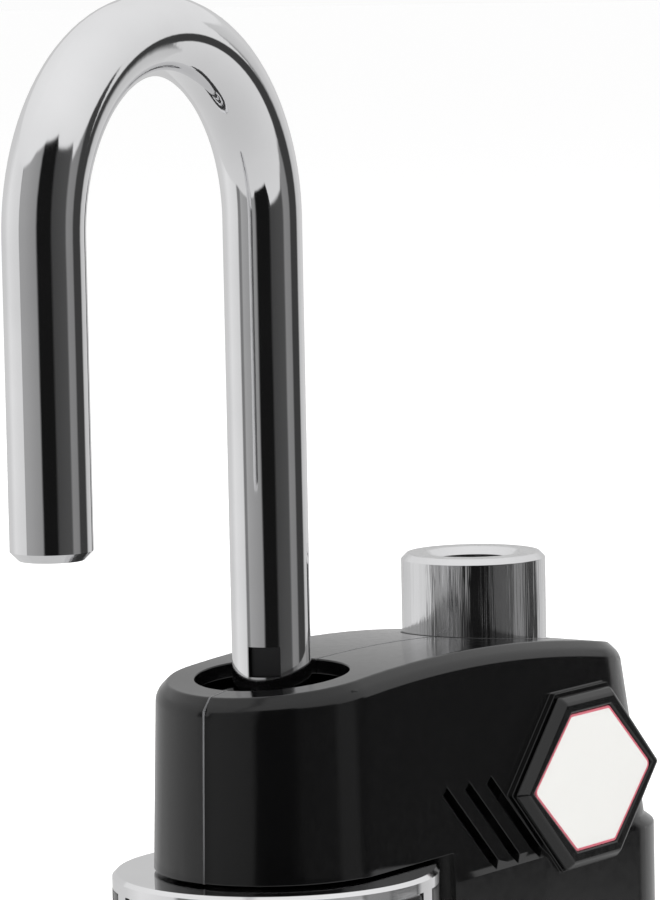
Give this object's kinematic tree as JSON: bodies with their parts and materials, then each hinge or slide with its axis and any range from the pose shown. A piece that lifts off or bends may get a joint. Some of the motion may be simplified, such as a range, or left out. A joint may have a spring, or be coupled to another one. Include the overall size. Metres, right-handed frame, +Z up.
{
  "type": "disc brake lock",
  "caption": "Motorcycle disc brake lock: chromed U shackle that lifts and swings open from a chromed lock drum, open receiver sleeve, and a black alarm housing with a hexagonal badge.",
  "frame": {"origin": "on the base plane, on the axis of the shackle's long leg", "axes": "+Z up along the long leg, +X from the long leg towards the receiver sleeve, -Y towards the front with the badge"},
  "size_m": [0.1555, 0.05, 0.1826],
  "materials": {
    "shackle_chrome": "mirror-bright chrome plate on hardened steel",
    "drum_chrome": "bright chrome plate on a die-cast zinc body",
    "sleeve_chrome": "bright chrome plate with fine turning streaks",
    "bronze": "sintered bronze, satin",
    "brass": "machined brass, satin",
    "plug_brass": "nickel-plated brass, satin",
    "steel": "zinc-plated steel, satin",
    "spring_steel": "drawn spring wire, satin",
    "screw_steel": "zinc-plated screws, satin",
    "rubber": "black nitrile rubber, matt",
    "white_nylon": "white nylon, satin",
    "switch_black": "black moulded plastic, matt",
    "shell_black": "glossy black moulded ABS",
    "frame_black": "glossy black moulded ABS",
    "badge_white": "off-white domed inlay with a thin red edge",
    "board_green": "green solder mask",
    "sensor_can": "drawn aluminium can, satin",
    "cell_wrap": "printed foil wrap, plain",
    "tray_grey": "grey moulded plastic, matt"
  },
  "bodies": {
    "housing": {"shackle_spring": "spring_steel", "spring_seat": "steel", "lock_body": "drum_chrome", "leg_seal": "rubber", "lock_cylinder": "brass", "latch_cover": "steel", "latch_cover_screws": "screw_steel", "crossbar": "steel", "neck_nut": "steel", "receiver_sleeve": "sleeve_chrome", "receiver_nut": "steel", "plunger_spring": "spring_steel", "arming_switch": "switch_black", "front_shell": "shell_black", "rear_shell": "shell_black", "shell_screws": "screw_steel", "badge_frame": "frame_black", "badge_inlay": "badge_white", "alarm_board": "board_green", "shock_sensor": "sensor_can", "sounder": "switch_black", "sounder_seal": "rubber", "batteries": "cell_wrap", "battery_tray": "tray_grey", "battery_contacts": "spring_steel", "battery_cover": "shell_black", "cover_contacts": "spring_steel", "cover_screws": "screw_steel"},
    "lift": {"lift_collar": "bronze"},
    "shackle": {"shackle": "shackle_chrome", "collar_screw": "steel"},
    "key_plug": {"key_plug": "plug_brass", "wafers": "brass", "latch_cam": "steel"},
    "latch_bolt": {"latch_bolt": "steel"},
    "arming_plunger": {"arming_plunger": "white_nylon"}
  },
  "joints": [
    {"name": "shackle_lift", "type": "slide", "parent": "housing", "child": "lift", "axis": [0, 0, 1], "range_m": [-0.024, 0], "stiffness_N_per_m": 450, "springref_m": 0.012, "deforming": ["shackle_spring"]},
    {"name": "shackle_swivel", "type": "hinge", "parent": "lift", "child": "shackle", "pos_m": [0, 0, 0.045], "axis": [0, 0, 1], "range_deg": [-182.3, 177.7]},
    {"name": "key_turn", "type": "hinge", "parent": "housing", "child": "key_plug", "pos_m": [0.01446, 0.00584, 0.02], "axis": [0, 0, 1], "range_deg": [-90, 0]},
    {"name": "bolt_slide", "type": "slide", "parent": "housing", "child": "latch_bolt", "axis": [0.9272, 0.3746, 0], "range_m": [-0.00182, 0]},
    {"name": "plunger_press", "type": "slide", "parent": "housing", "child": "arming_plunger", "axis": [0, 0, 1], "range_m": [-0.003, 0], "stiffness_N_per_m": 300, "springref_m": 0.002, "deforming": ["plunger_spring"]}
  ],
  "couplings": [
    {"joint": "bolt_slide", "follows": "key_turn", "m_per_rad": 0.0011459},
    {"joint": "plunger_press", "follows": "shackle_lift", "ratio": 0.125}
  ]
}
